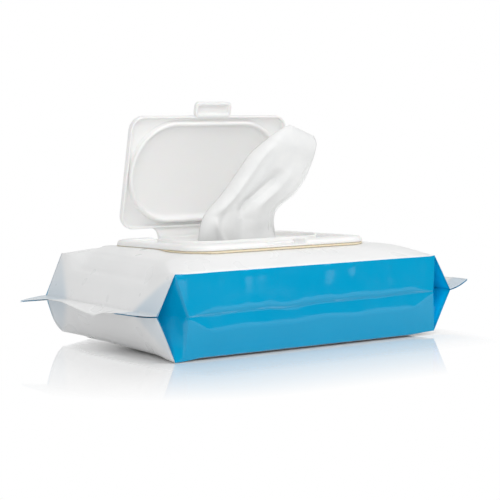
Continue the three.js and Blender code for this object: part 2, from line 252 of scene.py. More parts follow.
def floor_side(x, y):
    """The bottom up to the end corners: flat under the wipes, rounded up to its folds, lifted at the ends."""
    back = (y + half_width) / (2 * half_width)
    lift = 0.0003 + 0.0037 * back if x < 0 else 0.0022
    rounded_up = 0.0013 * smooth(abs(y), 0.0475, half_width)
    share = smooth(abs(x), 0.066, end_of(x)["corner"])
    return rounded_up + (lift - rounded_up) * share


def fin_middle(x, y):
    """Height of the seal's middle: waved or bent up towards its outer edge."""
    share = between(x, "root", "tip")
    dip = -0.0006 * smooth(-y, 0.020, half_width) if x < 0 else 0
    rise = np.interp(y, fin_places, end_of(x)["edge"])
    return fin_level + dip + rise * (0.35 * share + 0.65 * share * share)


def film_level(x, y, up):
    """Height of the top or bottom film anywhere, its end slopes and fins with it."""
    past, sign = between(x, "corner", "root"), 1 if up else -1
    held = math.copysign(min(abs(x), end_of(x)["corner"]), x)
    start = crowned(held, y) if up else floor_side(held, y)
    if past == 0:
        return start
    gusset = abs(y) - half_width + end_of(x)["depth"]
    layers = lone_layer + (white_layer - lone_layer) * smooth(gusset, -0.0025, 0.0015)
    sealed = fin_middle(x, y) + sign * layers
    swell = math.sin(math.pi * past)
    pillow = (0.0012 * (1 - (y / half_width) ** 4) + 0.0005 * wander(x, y, 0, 6.3 + sign, 0.013)) * swell
    if x < 0 and not up:
        pillow += 0.0030 * smooth(y, 0.022, half_width) * swell
    seam = -0.00035 * smooth(y, -0.0054, -0.0048) * swell if not up else 0
    return start + (sealed - start) * past + sign * pillow + seam


def film_height(x, y, up):
    """The film with its shoulder rounded over at the end, away from the sharp corners."""
    end = end_of(x)
    spread = (0.0080 if up else 0.0050) * (1 - smooth(abs(y), 0.028, half_width))
    spread = min(spread, end["root"] - abs(x), abs(x) - 0.060)
    if spread <= 0:
        return film_level(x, y, up)
    return sum(film_level(x + step * spread, y, up) for step in (-1, -0.5, 0, 0.5, 1)) / 5


def side_bulge(x, z, seed):
    """How far a side stands out: two pillows, a wandering crease between them and small wrinkles."""
    away = end_of(x)["tuck"] - abs(x)
    open_out = smooth(away, -0.002, 0.015)
    level = np.interp(x, [-left_end["tuck"], right_end["tuck"]], [left_end["level"], right_end["level"]])
    level += 0.0008 * open_out * wander(x, 0, 0, seed, 0.024)
    ruffle = 0.0010 * wander(x, 0, 0, seed + 5, 0.013) + 0.0006 * wander(x, 0, 0, seed, 0.004)
    above = 0.0005 + open_out * (0.0013 + ruffle)
    below = 0.0010 + open_out * (0.0058 + 0.0012 * wander(x, 0, 0, seed + 9, 0.020))
    depth = 0.0002 + open_out * (0.0008 + 0.0003 * wander(x, 0, 0, seed + 7, 0.016))
    stand = np.interp(z, [0, level - below, level, level + above, edge_height],
                      [0, side_stand, side_stand - depth, side_stand, 0])
    pleats = 0.0024 * max(wander(x, 0, z * 0.1, seed + 4, 0.0075) - 0.08, 0)
    pleats *= math.exp((z - edge_height) / 0.006)
    ripple = 0.00012 * wander(x * 0.5, 0, z, seed + 2, 0.008)
    edges = smooth(z, 0, 0.004) * smooth(edge_height - z, 0, 0.002)
    return stand + edges * (ripple + pleats)


def half_side(x, side, up):
    """Half of a side's section at x, from the fold at the top or bottom in to the gusset's inner fold."""
    end, reach, sign = end_of(x), abs(x), 1 if up else -1
    inner_y = half_width - end["depth"] * between(x, "tuck", "root")
    level = np.interp(x, [-left_end["tuck"], right_end["tuck"]], [left_end["level"], right_end["level"]])
    sealed = fin_middle(x, side * inner_y) + sign * blue_layer
    inner_z = level + (sealed - level) * between(x, "tuck", "root")
    outer_z = film_height(x, side * half_width, up)
    past = between(x, "corner", "root")
    under = white_layer - blue_layer + 0.0006 * math.sin(math.pi * past)
    if reach <= end["corner"]:
        share = 0.55 + 0.42 * smooth(reach, 0.060, end["tuck"])
        if reach > end["tuck"]:
            along = between(x, "tuck", "corner")
            steep = x < 0 and side < 0 and not up
            share = 1 - min(max(min(4 * along, 0.9 + 0.1 * along) if steep else along, 0.03), 0.97)
        crease = (half_width, outer_z + (inner_z - outer_z) * share)
    else:
        crease_y = half_width - end["depth"] * max(past, 0.02)
        crease = (crease_y, film_height(x, side * crease_y, up) - sign * under)
    section = []
    for t in (1 - np.cos(np.linspace(0, math.pi, near_count + 1)[:-1])) / 2:
        y = half_width + (crease[0] - half_width) * t
        z = outer_z + (crease[1] - outer_z) * t
        if reach > end["corner"]:
            z = film_height(x, side * y, up) - sign * under * min(t * 8, 1)
        section.append((y, z))
    for t in (1 - np.cos(np.linspace(0, math.pi, far_count + 1)[:-1])) / 2:
        section.append((crease[0] + (inner_y - crease[0]) * t, crease[1] + (inner_z - crease[1]) * t))
    section.append((inner_y, inner_z))
    placed = []
    for y, z in section:
        out = side_bulge(x, z, 3.1 if side < 0 else 7.7) if reach < end["corner"] else 0
        placed.append((x, side * (y + out * smooth(y, half_width - 0.004, half_width)), z))
    return placed


def fin_ear(x, y):
    """The left fin's back corner is drawn out into an ear."""
    ear = 0.0042 * smooth(y, 0.034, half_width) if x < 0 else 0
    return x + math.copysign(ear * between(x, "root", "tip"), x)


stations = list(np.linspace(-left_end["tuck"], right_end["tuck"], 124)[1:-1])
for end, sign in ((left_end, -1), (right_end, 1)):
    for low, high, steps in (("tuck", "corner", 12), ("corner", "root", 18), ("root", "tip", 12)):
        stations += list(sign * np.linspace(end[low], end[high], steps + 1)[:-1])
    stations.append(sign * end["tip"])
stations.sort()
spread = np.linspace(1, -1, top_count + 1)[1:-1]
across_top = half_width * (0.55 * spread + 0.45 * np.sin(spread * math.pi / 2))
spread = np.linspace(-1, 1, bottom_count + 1)[1:-1]
across_bottom = half_width * (0.6 * spread + 0.4 * np.sin(spread * math.pi / 2))
rings = []
for x in stations:
    ring = [(x, y, film_height(x, y, True)) for y in across_top]
    ring += half_side(x, -1, True)[:-1] + half_side(x, -1, False)[::-1]
    ring += [(x, y, film_height(x, y, False)) for y in across_bottom]
    ring += half_side(x, 1, False)[:-1] + half_side(x, 1, True)[::-1]
    ring = np.array(ring)
    eased = 0.5 * ring + 0.25 * (np.roll(ring, 1, 0) + np.roll(ring, -1, 0))
    ring += (eased - ring) * (1 - smooth(abs(x), 0.066, end_of(x)["tuck"]))
    ring[:, 0] = [fin_ear(x, y) for y in ring[:, 1]]
    ring[:, 2] = np.maximum(ring[:, 2], 0.00005)
    rings.append(ring)
count = len(rings[0])
side_count = 2 * (near_count + far_count)
front_first = top_count - 1
back_first = front_first + side_count + bottom_count
points = [tuple(p) for ring in rings for p in ring]
faces, is_blue = [], []
for face in skin(rings):
    middle = np.mean([points[i] for i in face], axis=0)
    inside_x = abs(middle[0] - frame_at.x) < frame_length / 2 - 0.007
    if middle[2] > edge_height and inside_x and abs(middle[1] - frame_at.y) < frame_width / 2 - 0.007:
        continue
    j = face[0] % count
    faces.append(face)
    is_blue.append(front_first + 1 <= j < front_first + side_count or back_first + 1 <= j < count - 2)

# the die-cut lip of the film that shows inside the dispenser's mouth
mouth_length, mouth_width, mouth_y = 0.0826, 0.0391, 0.006535
lip_angles = even_angles(frame_length, frame_width, 192)
lip_rings = []
for share in np.linspace(0, 1, 10):
    start = rounded(frame_length - 0.010, frame_width - 0.010, 0.010, lip_angles) + [0, frame_at.y - mouth_y]
    end = rounded(mouth_length - 0.006, mouth_width - 0.006, 0.0165, lip_angles)
    ring = []
    for (x0, y0), (x1, y1) in zip(start, end):
        x, y = frame_at.x + x0 + (x1 - x0) * share, mouth_y + y0 + (y1 - y0) * share
        z = crowned(x, y) - 0.0001 - 0.0009 * share ** 3
        ring.append((x, y, z + 0.0005 * share ** 2 * wander(x, y, 0, 8.8, 0.012)))
    lip_rings.append(ring)
lip_faces = skin(lip_rings, first=len(points))
points += [p for ring in lip_rings for p in ring]
faces += lip_faces
is_blue += [False] * len(lip_faces)

film_creases = bpy.data.node_groups.new("film_creases", "ShaderNodeTree")
for socket in ("Seal", "Smoothest", "Haziest"):
    film_creases.interface.new_socket(socket, in_out="INPUT", socket_type="NodeSocketFloat")
film_creases.interface.new_socket("Normal", in_out="OUTPUT", socket_type="NodeSocketVector")
film_creases.interface.new_socket("Roughness", in_out="OUTPUT", socket_type="NodeSocketFloat")
given = node(film_creases, "NodeGroupInput").outputs
place = node(film_creases, "ShaderNodeTexCoord").outputs["Object"]
slack = node(film_creases, "ShaderNodeTexNoise", {"Vector": place, "Scale": 80, "Detail": 1})
grain = node(film_creases, "ShaderNodeTexNoise", {"Vector": place, "Scale": 1100, "Detail": 2})
ribs = node(film_creases, "ShaderNodeTexWave", {"Vector": place, "Scale": 250, "Distortion": 0.4})
crimp = node(film_creases, "ShaderNodeMath", {0: ribs.outputs[1], 1: given["Seal"]}, operation="MULTIPLY")
soft = node(film_creases, "ShaderNodeBump", {"Height": slack.outputs[0], "Strength": 0.04,
                                             "Distance": 0.0008})
fine = node(film_creases, "ShaderNodeBump", {"Height": grain.outputs[0], "Strength": 0.03, "Distance": 0.0001,
                                             "Normal": soft.outputs[0]})
pressed = node(film_creases, "ShaderNodeBump", {"Height": crimp.outputs[0], "Strength": 0.30,
                                                "Distance": 0.0002, "Normal": fine.outputs[0]})
haze = node(film_creases, "ShaderNodeMapRange", {"Value": slack.outputs[0], 1: 0.3, 2: 0.7,
                                                 3: given["Smoothest"], 4: given["Haziest"]})
put_out = node(film_creases, "NodeGroupOutput")
film_creases.links.new(pressed.outputs[0], put_out.inputs["Normal"])
film_creases.links.new(haze.outputs[0], put_out.inputs["Roughness"])

film_white, tree, shader = material("film_white", Specular_IOR_Level=0.5, IOR=1.5)
sealed = node(tree, "ShaderNodeAttribute", attribute_name="seal").outputs["Fac"]
creases = node(tree, "ShaderNodeGroup", {}, node_tree=film_creases)
tree.links.new(sealed, creases.inputs["Seal"])
creases.inputs["Smoothest"].default_value, creases.inputs["Haziest"].default_value = 0.26, 0.36
behind = node(tree, "ShaderNodeAttribute", attribute_name="blue_behind").outputs["Fac"]
place = node(tree, "ShaderNodeTexCoord").outputs["Object"]
cloud = node(tree, "ShaderNodeTexNoise", {"Vector": place, "Scale": 40, "Detail": 2}).outputs[0]
paper = node(tree, "ShaderNodeMixRGB", {0: cloud, 1: linear(235, 236, 236), 2: linear(240, 240, 240)})
veil = node(tree, "ShaderNodeMixRGB", {0: behind, 1: paper.outputs[0], 2: linear(203, 215, 224)})
tree.links.new(veil.outputs[0], shader.inputs["Base Color"])
tree.links.new(creases.outputs["Normal"], shader.inputs["Normal"])
tree.links.new(creases.outputs["Roughness"], shader.inputs["Roughness"])

film_blue, tree, shader = material("film_blue", Specular_IOR_Level=0.5, IOR=1.5)
sealed = node(tree, "ShaderNodeAttribute", attribute_name="seal").outputs["Fac"]
creases = node(tree, "ShaderNodeGroup", {}, node_tree=film_creases)
tree.links.new(sealed, creases.inputs["Seal"])
creases.inputs["Smoothest"].default_value, creases.inputs["Haziest"].default_value = 0.10, 0.17
place = node(tree, "ShaderNodeTexCoord").outputs["Object"]
cloud = node(tree, "ShaderNodeTexNoise", {"Vector": place, "Scale": 30, "Detail": 2}).outputs[0]
ink = node(tree, "ShaderNodeMixRGB", {0: cloud, 1: linear(0, 155, 202), 2: linear(0, 161, 207)})
# painted light: the tucks at the right end get a lighter, clearer ink in place of light shining through the
# film
lit = node(tree, "ShaderNodeAttribute", attribute_name="painted_tuck_light").outputs["Fac"]
ink_and_painted_tuck_light = node(tree, "ShaderNodeMixRGB", {0: lit, 1: ink.outputs[0], 2: linear(0, 196, 241)})
tree.links.new(ink_and_painted_tuck_light.outputs[0], shader.inputs["Base Color"])
tree.links.new(creases.outputs["Normal"], shader.inputs["Normal"])
tree.links.new(creases.outputs["Roughness"], shader.inputs["Roughness"])

pouch = build("pouch", points, faces, [film_white, film_blue])
pouch.data.polygons.foreach_set("material_index", np.array(is_blue, dtype=np.int32))
# the film is thin: blue shows faintly through white. The right end's tucks get a lighter blue ink: painted
# light, standing in for light that would pass through the film into them
tint, seal, tuck_light_paint = [], [], []
for x, y, z in points:
    past = between(x, "corner", "root")
    folded_in = abs(y) - half_width + end_of(x)["depth"] * past
    covered = smooth(folded_in, -0.0030, 0.0030) * (0.5 + 0.5 * past) * smooth(past, 0.02, 0.2)
    tint.append(float(covered * (0.8 if y > 0 else 1 if z > fin_level else 0.6)))
    seal.append(float(smooth(between(x, "root", "tip"), 0.08, 0.16)))
    # painted light mask: 1 in the right end's tucks, which lifts their ink
    tuck_light_paint.append(float(smooth(half_width - abs(y), 0.0003, 0.0025)) if x > right_end["tuck"] else 0.0)
for name, values in (("blue_behind", tint), ("seal", seal), ("painted_tuck_light", tuck_light_paint)):
    pouch.data.attributes.new(name, "FLOAT", "POINT").data.foreach_set("value", values)
wall = pouch.modifiers.new("film", "SOLIDIFY")
wall.thickness, wall.offset = 0.00006, -1
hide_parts("film_pouch")
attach(pouch, "pack")

# Adhesive: a bead of tan hot-melt pressed out between the film and the frame's underside.
# It shows as a thin line under the frame's front edge.
hot_melt, tree, shader = material("hot_melt", Roughness=0.42, Subsurface_Weight=0.1, Subsurface_Scale=0.001)
place = node(tree, "ShaderNodeTexCoord").outputs["Object"]
streaks = node(tree, "ShaderNodeTexNoise", {"Vector": place, "Scale": 120, "Detail": 4,
                                            "Distortion": 1.5}).outputs[0]
amber = node(tree, "ShaderNodeMixRGB", {0: streaks, 1: linear(230, 214, 180), 2: linear(241, 230, 206)})
bump = node(tree, "ShaderNodeBump", {"Height": streaks, "Strength": 0.3, "Distance": 0.0004})
tree.links.new(amber.outputs[0], shader.inputs["Base Color"])
tree.links.new(bump.outputs[0], shader.inputs["Normal"])
frame_place = Matrix.Translation(frame_at) @ Matrix.Rotation(-frame_lean, 4, "X")
angles = even_angles(frame_length, frame_width, 260)
rings = []
# each ring is its inset from the frame's edge and its share of the depth from frame to film
for inset, share in [(0.0118, 0.2), (0.0118, 0.9), (0.0050, 1.0), (0.0024, 1.0), (0.0008, 1.0),
                     (0.0, 0.85), (-0.0003, 0.6), (-0.0001, 0.3), (0.0005, 0.1), (0.0014, 0.05)]:
    flat = rounded(frame_length - 2 * inset, frame_width - 2 * inset, frame_corner - inset / 2, angles)
    ring = []
    for x, y in flat:
        held_back = (0.0001 + 0.0003 * wander(x, y, 0, 2.4, 0.014)) * (inset < 0.002)
        shrink = 1 - held_back / math.hypot(x, y)
        x, y = x * shrink, y * shrink
        film = crowned(frame_at.x + x, frame_at.y + y) - frame_at.z + y * math.tan(frame_lean)
        ring.append((x, y, (film - 0.00005) * share))
    rings.append(ring)
points = [p for ring in rings for p in ring]
glue = build("glue", points, skin(rings, loop=True), [hot_melt], frame_place)
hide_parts("adhesive_ring")
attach(glue, "pack")

# Dispenser frame: an injection moulding in white polypropylene, glued to the pouch over its opening.
# A raised border holds the lid's recess, and a collar round the mouth seals against the lid's ring.
moulded, tree, shader = material("moulded", Specular_IOR_Level=0.35, Subsurface_Weight=0.08,
                                 Subsurface_Scale=0.0015)
place = node(tree, "ShaderNodeTexCoord").outputs["Object"]
spark = node(tree, "ShaderNodeTexNoise", {"Vector": place, "Scale": 2200, "Detail": 2}).outputs[0]
flow = node(tree, "ShaderNodeTexNoise", {"Vector": place, "Scale": 28, "Detail": 2}).outputs[0]
resin = node(tree, "ShaderNodeMixRGB", {0: flow, 1: linear(240, 240, 239), 2: linear(244, 244, 243)})
satin = node(tree, "ShaderNodeMapRange", {"Value": flow, 3: 0.36, 4: 0.44})
bump = node(tree, "ShaderNodeBump", {"Height": spark, "Strength": 0.05, "Distance": 0.00008})
tree.links.new(resin.outputs[0], shader.inputs["Base Color"])
tree.links.new(satin.outputs[0], shader.inputs["Roughness"])
tree.links.new(bump.outputs[0], shader.inputs["Normal"])

border_top, deck = 0.0030, 0.0011
recess_y = 0.00205
lid_length, lid_width, lid_corner = 0.103, 0.0615, 0.008
tab_width, tongue_width = 0.0235, 0.054
land_half, land_top = 0.0325, 0.0016
collar_length, collar_width, collar_top = 0.0932, 0.0497, 0.0036


def border_height(x, y):
    """The border is cut down for the lid's thumb tab at the front and for its hinge strap at the back."""
    notch = smooth(abs(x), tab_width / 2 + 0.0002, tab_width / 2 + 0.0009) if y < 0 else 1
    land = smooth(abs(x), land_half - 0.0006, land_half + 0.0003) if y > 0 else 1
    return min(deck + (border_top - deck) * notch, land_top + (border_top - land_top) * land)


def stadium(length, depth, angles):
    return rounded(length, depth, depth / 2 - 1e-5, angles)


angles = even_angles(frame_length, frame_width, 520)
recess = [lid_length + 0.001, lid_width + 0.001, lid_corner + 0.0005]
rings = []


def border_ring(inset, z):
    flat = rounded(frame_length - 2 * inset, frame_width - 2 * inset, frame_corner - inset, angles)
    rings.append([(x, y, min(z, border_height(x, y) - (border_top - z) * 0.2)) for x, y in flat])


def recess_ring(grow, z):
    flat = rounded(recess[0] + 2 * grow, recess[1] + 2 * grow, recess[2] + grow, angles)
    top = [border_height(x, y) - (border_top - z) * 0.2 if z > deck + 0.0004 else z for x, y in flat]
    rings.append([(x, y + recess_y, min(z, t)) for (x, y), t in zip(flat, top)])


def round_ring(length, depth, z):
    rings.append([(x, y + recess_y, z) for x, y in stadium(length, depth, angles)])


round_ring(mouth_length + 0.0004, mouth_width + 0.0004, 0)
for inset, drop in [(0.0006, 0.0030), (0.0002, 0.0029), (0.0, 0.0026), (0.0, 0.0020), (0.0001, 0.0015),
                    (0.0004, 0.0010), (0.0009, 0.0005), (0.0015, 0.0002), (0.0022, 0.0)]:
    border_ring(inset, border_top - drop)
for grow, drop in [(0.0012, 0.0), (0.0007, 0.0001), (0.0003, 0.0003), (0.0001, 0.0006), (0.0, 0.0010)]:
    recess_ring(grow, border_top - drop)
recess_ring(0.0, deck + 0.0002)
recess_ring(-0.0003, deck)
for inset, z in [(-0.0004, deck), (0.0, deck + 0.0004), (0.0, collar_top - 0.0004),
                 (0.00015, collar_top - 0.0001), (0.00045, collar_top), (0.00085, collar_top),
                 (0.00115, collar_top - 0.0001), (0.0013, collar_top - 0.0004), (0.0013, deck + 0.0004),
                 (0.0017, deck)]:
    round_ring(collar_length - 2 * inset, collar_width - 2 * inset, z)
for grow, z in [(0.0006, deck), (0.0001, deck - 0.0002), (0.0, deck - 0.0005), (0.0001, 0.0001)]:
    round_ring(mouth_length + grow, mouth_width + grow, z)
points = [p for ring in rings for p in ring]
faces = skin(rings, loop=True)


def lump(length, depth, corner, base, top, x, y, edge):
    """Rings of a small moulded block with rounded upper edges."""
    angles = even_angles(length, depth, 96)
    block = []
    for inset, z in [(0, base), (0, top - edge), (0.3 * edge, top - 0.3 * edge), (edge, top)]:
        flat = rounded(length - 2 * inset, depth - 2 * inset, max(corner - inset, 0.0002), angles)
        block.append([(px + x, py + y, z) for px, py in flat])
    return block


catch = lump(0.0197, 0.0039, 0.0008, 0.0005, 0.0023, 0, -0.03255, 0.0004)
faces += skin(catch, first=len(points), caps=(False, True))
points += [p for ring in catch for p in ring]
dispenser = build("dispenser", points, faces, [moulded], frame_place)
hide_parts("dispenser_frame")
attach(dispenser, "pack")

# Lid: moulded with the frame and joined to it by a living hinge. A shallow tray with a crowned back,
# a rounded sealing ring inside, a hollow thumb tab at the front and a flared strap to the hinge line.
hinge_y, hinge_z = 0.0383, 0.0024
open_angle = math.radians(77.2)
strap_reach = 0.0055
lid_middle = strap_reach + lid_width / 2
skirt, plate, crown, rim_wall = 0.0022, 0.0012, 0.0012, 0.0012
ring_length, ring_width, ring_foot = 0.099, 0.0555, 0.0044
lid_place = frame_place @ Matrix.Translation((0, hinge_y, hinge_z)) @ Matrix.Rotation(-open_angle, 4, "X")
angles = even_angles(lid_length, lid_width, 440)
rings = []


def tray_ring(inset, z, corner=None):
    corner = lid_corner - inset if corner is None else corner
    flat = rounded(lid_length - 2 * inset, lid_width - 2 * inset, corner, angles)
    rings.append([(x, y - lid_middle, z) for x, y in flat])


def seal_ring(inset, z):
    flat = stadium(ring_length - 2 * inset, ring_width - 2 * inset, angles)
    rings.append([(x, y - lid_middle, z) for x, y in flat])


outside = skirt + plate
for share in (0.98, 0.9, 0.75, 0.6, 0.45, 0.3, 0.2, 0.1):
    inset = 0.001 + (lid_width / 2 - 0.001) * share
    corner = min(lid_corner + inset, lid_width / 2 - inset - 0.0002)
    tray_ring(inset, outside + crown * (1 - (1 - share) ** 2), corner)
for inset, z in [(0.0014, outside + 0.00008), (0.0010, outside - 0.00002), (0.0005, outside - 0.0002),
                 (0.00015, outside - 0.0005), (0.0, outside - 0.0010), (0.0, 0.0004), (0.0001, 0.0001),
                 (0.0004, 0.0), (rim_wall - 0.0004, 0.0), (rim_wall - 0.0001, 0.0001), (rim_wall, 0.0004),
                 (rim_wall, skirt - 0.0006), (rim_wall + 0.0002, skirt - 0.0002), (rim_wall + 0.0006, skirt)]:
    tray_ring(inset, z)
for inset, z in [(-0.0004, skirt), (-0.0001, skirt - 0.0002), (0.0, skirt - 0.0006), (0.0001, 0.0),
                 (0.0003, -0.0006), (0.0007, -0.0009), (0.0012, -0.0010), (0.0017, -0.0009),
                 (0.0021, -0.0006), (0.0024, 0.0), (0.0028, skirt - 0.0009), (0.0034, skirt - 0.0003),
                 (ring_foot, skirt + 0.00005)]:
    seal_ring(inset, z)
for share in (0.2, 0.35, 0.5, 0.65, 0.8, 0.92, 0.985):
    inset = ring_foot + (ring_width / 2 - ring_foot) * share
    seal_ring(inset, skirt + 0.00005 + 1.5 * crown * (1 - (1 - share) ** 2))
points = [p for ring in rings for p in ring]
faces = skin(rings, caps=(True, True))

tab_reach, tab_drop, tab_high = 0.0077, 0.0004, 0.0024
tab_y = -lid_middle - lid_width / 2 - tab_reach / 2
tab_angles = even_angles(tab_width, tab_reach, 160)
tab = []
for inset, z, corner in [(0.0011, tab_high, 0.0016), (0.0004, tab_high - 0.0002, 0.0021),
                         (0.0, tab_high - 0.0008, 0.0024), (0.0, -tab_drop + 0.0004, 0.0024),
                         (0.0001, -tab_drop + 0.0001, 0.0023), (0.0004, -tab_drop, 0.0020),
                         (0.0012, -tab_drop, 0.0014), (0.0016, -tab_drop + 0.0001, 0.0012),
                         (0.0018, -tab_drop + 0.0004, 0.0011), (0.0020, 0.0006, 0.0010),
                         (0.0026, 0.0010, 0.0008)]:
    length, depth = tab_width - 2 * inset, tab_reach + 0.0006 - 2 * inset
    flat = rounded(length, depth, corner, tab_angles)
    tab.append([(x, y + tab_y + 0.0003, z) for x, y in flat])
faces += skin(tab, first=len(points), caps=(True, True))
points += [p for ring in tab for p in ring]

# the strap, in stations from the hinge line up to the back of the tray
strap = []
half = tongue_width / 2
for share in np.linspace(0, 1, 16):
    reach = share * (strap_reach + 0.0008)
    sweep = np.clip((reach - (strap_reach - 0.005)) / 0.005, 0, 1)
    wide = half + 0.005 * (1 - math.sqrt(max(1 - sweep * sweep, 0)))
    rise = reach * math.tan(math.radians(14)) + 0.0003 * share
    thick = 0.00028 + 0.00022 * smooth(reach, 0.0004, 0.0016)
    ends = np.linspace(-1, 1, 41)
    upper = [(wide * e, -reach, rise + thick) for e in ends]
    lower = [(wide * e, -reach, rise - thick) for e in ends[::-1]]
    strap.append(upper + lower)
faces += skin(strap, first=len(points), caps=(True, True))
points += [p for ring in strap for p in ring]
flip_top = build("flip_top", points, faces, [moulded], lid_place)
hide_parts("lid")
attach(flip_top, "flip_lid")

# Living hinge: the thin web of the same polypropylene that bends between the frame and the lid's strap.
# It is moulded in one shot with both, and has no pin.
web_half = 0.00018
web_place = frame_place @ Matrix.Translation((0, hinge_y, hinge_z))
bend = []
for share in np.linspace(0, 1, 13):
    turn = -open_angle * share
    behind = 0.0012 * (1 - share) ** 2
    y = behind - 0.0009 * share * math.cos(turn)
    z = -0.0006 * (1 - share) ** 2 - 0.0009 * share * math.sin(turn)
    n_y, n_z = -math.sin(turn) * web_half, math.cos(turn) * web_half
    ends = np.linspace(-half + 0.0006, half - 0.0006, 41)
    bend.append([(x, y + n_y, z + n_z) for x in ends] + [(x, y - n_y, z - n_z) for x in ends[::-1]])
points = [p for ring in bend for p in ring]
hinge_web = build("hinge_web", points, skin(bend, caps=(True, True)), [moulded], web_place)
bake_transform(hinge_web)

# Leading wipe: the top sheet of the pile, drawn up through the mouth by its middle. It is gathered into
# three layers that lean to the right and forward, with a hollow and soft ridges down the front layer.
# Each row is its place along Y, then X and Z of its left and of its right edge, in millimetres.
edges = np.array([
    [6.1, -28.8, 42.9, 21.9, 42.9], [5.3, -30.0, 48.5, 21.0, 48.8], [4.6, -30.4, 54.1, 19.8, 54.4],
    [3.6, -29.8, 60.4, 18.3, 58.9], [3.1, -27.6, 66.1, 18.0, 63.2], [2.5, -23.5, 70.7, 18.8, 66.5],
    [1.6, -17.7, 76.4, 22.2, 70.2], [0.1, -9.7, 86.7, 28.6, 74.9], [-1.9, -1.9, 97.1, 33.9, 81.9],
    [-3.4, 4.9, 102.9, 37.5, 90.0], [-4.9, 10.4, 107.1, 39.1, 96.5], [-6.4, 17.3, 111.2, 39.2, 102.4],
    [-7.4, 20.5, 112.8, 36.3, 106.8]]) / 1000
steps = np.linspace(0, 1, 120)


def curve(column):
    """A smooth curve through one column of the edge table."""
    values, out = edges[:, column], []
    for t in steps * (len(edges) - 1):
        i = min(int(t), len(edges) - 2)
        p = [values[max(min(i + k, len(edges) - 1), 0)] for k in (-1, 0, 1, 2)]
        s = t - i
        out.append(0.5 * (2 * p[1] + (p[2] - p[0]) * s + (2 * p[0] - 5 * p[1] + 4 * p[2] - p[3]) * s ** 2
                          + (3 * p[1] - p[0] - 3 * p[2] + p[3]) * s ** 3))
    return np.array(out)


def fold(middle, width, height, t, rise, fall):
    """A soft ridge or hollow down the front layer, between two shares of its length."""
    share = smooth(t, rise[0], rise[1]) * (1 - smooth(t, fall[0], fall[1]))
    return height * share * np.exp(-((across - middle) / width) ** 2)


front_depth, middle_depth = 0.0030, 0.0005
place_y, left_x, left_z, right_x, right_z = [curve(k) for k in range(5)]
across = 0.5 - 0.5 * np.cos(np.linspace(0, math.pi, 72))
rows = []
for i, t in enumerate(steps):
    lean = (1 - smooth(t, 0.72, 0.95)) * smooth(t, 0.02, 0.25)
    valley = np.interp(t, [0.22, 0.31, 0.40, 0.48, 0.53, 0.60], [0.54, 0.54, 0.47, 0.44, 0.49, 0.55])
    ridge = np.interp(t, [0.30, 0.39, 0.45, 0.50, 0.57, 0.66], [0.74, 0.70, 0.66, 0.64, 0.66, 0.70])
    front = front_depth + 0.0060 * lean * (0.45 - across)
    front += fold(0.07, 0.08, 0.0022, t, (0.30, 0.42), (0.66, 0.80))
    front += fold(valley, 0.08, -0.0020, t, (0.06, 0.30), (0.42, 0.55))
    front += fold(valley, 0.12, -0.0042, t, (0.28, 0.56), (0.60, 0.68))
    front += fold(ridge, 0.08, 0.0014, t, (0.10, 0.45), (0.62, 0.74))
    front += fold(0.20, 0.05, -0.0008, t, (0.08, 0.16), (0.30, 0.42))
    front += fold(np.interp(t, [0.12, 0.30], [0.28, 0.10]), 0.04, 0.0012, t, (0.06, 0.13), (0.26, 0.34))
    gap = 1 - 0.78 * smooth(t, 0.80, 0.98)
    middle = middle_depth + 0.35 * (front - front_depth)
    rear = -0.0035 * gap - 0.15 * (front - front_depth) - 0.002 * lean * np.sin(across * math.pi)
    front = middle_depth + (front - middle_depth) * gap
    round_off = np.sqrt(np.clip(1 - (2 * across - 1) ** 8, 0, 1))
    row = []
    for layer_depth, order in [(rear, 1), (front, -1), (middle, 1)]:
        for k in range(len(across))[::order]:
            s = across[k]
            if layer_depth is middle:
                s = 0.015 + 0.90 * s
            if layer_depth is rear:
                s = 0.06 + 0.93 * s
            base = layer_depth[k] * round_off[k] + (1 - round_off[k]) * 0.0006 * order
            x = left_x[i] + (right_x[i] - left_x[i]) * s
            z = left_z[i] + (right_z[i] - left_z[i]) * s
            crinkle = 0.0005 * noise.noise((x * 70, base * 90 + 5 * order, z * 45)) * smooth(t, 0, 0.1)
            row.append((x, place_y[i] - base - crinkle, z))
    rows.append(row)
width = len(rows[0])
points = [p for row in rows for p in row]
faces = [[i * width + j, i * width + j + 1, (i + 1) * width + j + 1, (i + 1) * width + j]
         for i in range(len(rows) - 1) for j in range(width - 1)]
pulled_wipe = build("pulled_wipe", points, faces, [nonwoven])
cloth = pulled_wipe.modifiers.new("cloth", "SOLIDIFY")
cloth.thickness, cloth.offset = 0.0004, 0
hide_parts("leading_wipe")
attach(pulled_wipe, "pack")
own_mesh(pulled_wipe)

# Camera: level with the pack, turned to its left front corner, as in the photograph
turn, pitch, distance = math.radians(36.8), math.radians(5.4), 0.8956
look = Vector((math.sin(turn) * math.cos(pitch), math.cos(turn) * math.cos(pitch), -math.sin(pitch)))
lens = bpy.data.cameras.new("camera")
lens.sensor_fit, lens.sensor_width, lens.lens = "HORIZONTAL", 36, 1680 * 36 / 500
lens.shift_x, lens.shift_y = -0.0016, 0.0234
eye = bpy.data.objects.new("camera", lens)
eye.location = Vector((0, 0, 0.04026)) - look * distance
eye.rotation_euler = look.to_track_quat("-Z", "Y").to_euler()
bpy.context.scene.collection.objects.link(eye)
bpy.context.scene.camera = eye

